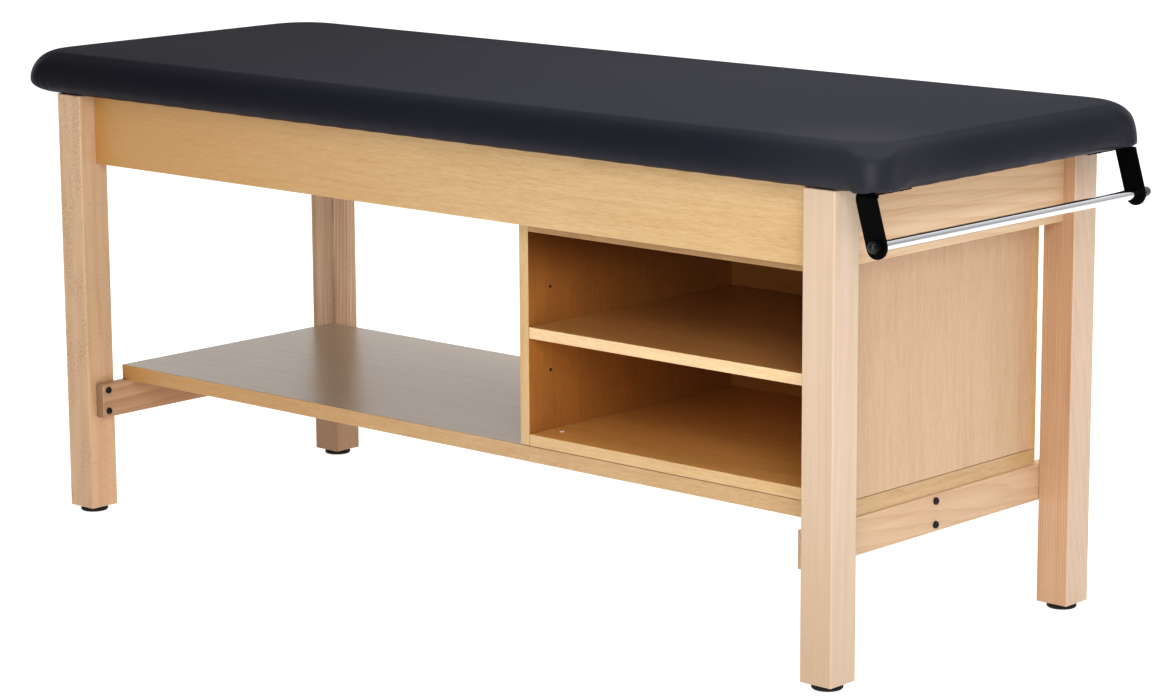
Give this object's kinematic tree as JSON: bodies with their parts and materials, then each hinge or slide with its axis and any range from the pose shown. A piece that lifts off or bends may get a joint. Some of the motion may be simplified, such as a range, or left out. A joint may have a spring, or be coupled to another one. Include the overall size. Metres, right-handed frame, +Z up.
{
  "type": "treatment table",
  "caption": "Flat padded treatment table on a beech frame with a lower shelf, an open cabinet with a loose shelf, levelling feet and a paper roll holder.",
  "frame": {"origin": "on the floor, under the middle of the whole table's bounding box", "axes": "+X along the table towards the paper roll holder, -Y to the front where the cabinet opens, +Z up"},
  "size_m": [1.8371, 0.6812, 0.7927],
  "materials": {
    "vinyl": "smooth satin upholstery vinyl, charcoal black",
    "foam": "open-cell foam, hidden under the cover",
    "plywood": "raw birch plywood",
    "beech": "solid beech, clear satin lacquer",
    "laminate": "beech decor laminate, semi-gloss",
    "black_steel": "black satin powder coat",
    "black_bolt": "black oxide, satin",
    "polished_steel": "polished",
    "zinc": "zinc plated",
    "brass": "turned brass",
    "black_plastic": "moulded black plastic",
    "white_plastic": "moulded white plastic"
  },
  "bodies": {
    "root": {"top_cover": "vinyl", "top_foam": "foam", "top_board": "plywood", "top_bearers": "beech", "top_screws": "zinc", "leg_front_left": "beech", "leg_front_right": "beech", "leg_rear_left": "beech", "leg_rear_right": "beech", "apron_front": "laminate", "apron_rear": "laminate", "apron_left": "beech", "apron_right": "beech", "apron_dowels": "beech", "corner_blocks": "beech", "corner_bolts": "zinc", "cross_rail_left": "beech", "cross_rail_right": "beech", "center_stretcher": "beech", "rail_bolts": "black_bolt", "rail_inserts": "brass", "stretcher_bolts": "black_bolt", "barrel_nuts": "zinc", "lower_shelf": "laminate", "shelf_screws": "zinc", "cabinet_side_left": "laminate", "cabinet_side_right": "laminate", "cabinet_top": "laminate", "cabinet_bottom": "laminate", "cabinet_back": "laminate", "shelf_pins": "zinc", "cabinet_dowels": "beech", "cabinet_screws": "zinc", "cabinet_screw_caps": "white_plastic", "back_screws": "zinc", "roll_bracket_front": "black_steel", "roll_bracket_rear": "black_steel", "bracket_screws": "black_bolt", "foot_inserts": "zinc"},
    "roll_bar": {"paper_rod": "polished_steel", "rod_cap_nut": "black_plastic", "rod_knob": "black_plastic"},
    "loose_shelf": {"cabinet_shelf": "laminate"},
    "foot_front_left": {"foot_pad_front_left": "black_plastic", "foot_stem_front_left": "zinc"},
    "foot_front_right": {"foot_pad_front_right": "black_plastic", "foot_stem_front_right": "zinc"},
    "foot_rear_left": {"foot_pad_rear_left": "black_plastic", "foot_stem_rear_left": "zinc"},
    "foot_rear_right": {"foot_pad_rear_right": "black_plastic", "foot_stem_rear_right": "zinc"}
  },
  "joints": [
    {"name": "rod_spin", "type": "hinge", "parent": "root", "child": "roll_bar", "pos_m": [0.90105, -0.009, 0.65026], "axis": [0, 1, 0], "continuous": true},
    {"name": "shelf_slide", "type": "slide", "parent": "root", "child": "loose_shelf", "axis": [0, -1, 0], "range_m": [0, 0.43]},
    {"name": "foot_front_left_screw", "type": "slide", "parent": "root", "child": "foot_front_left", "axis": [0, 0, -1], "range_m": [0, 0.012]},
    {"name": "foot_front_right_screw", "type": "slide", "parent": "root", "child": "foot_front_right", "axis": [0, 0, -1], "range_m": [0, 0.012]},
    {"name": "foot_rear_left_screw", "type": "slide", "parent": "root", "child": "foot_rear_left", "axis": [0, 0, -1], "range_m": [0, 0.012]},
    {"name": "foot_rear_right_screw", "type": "slide", "parent": "root", "child": "foot_rear_right", "axis": [0, 0, -1], "range_m": [0, 0.012]}
  ]
}
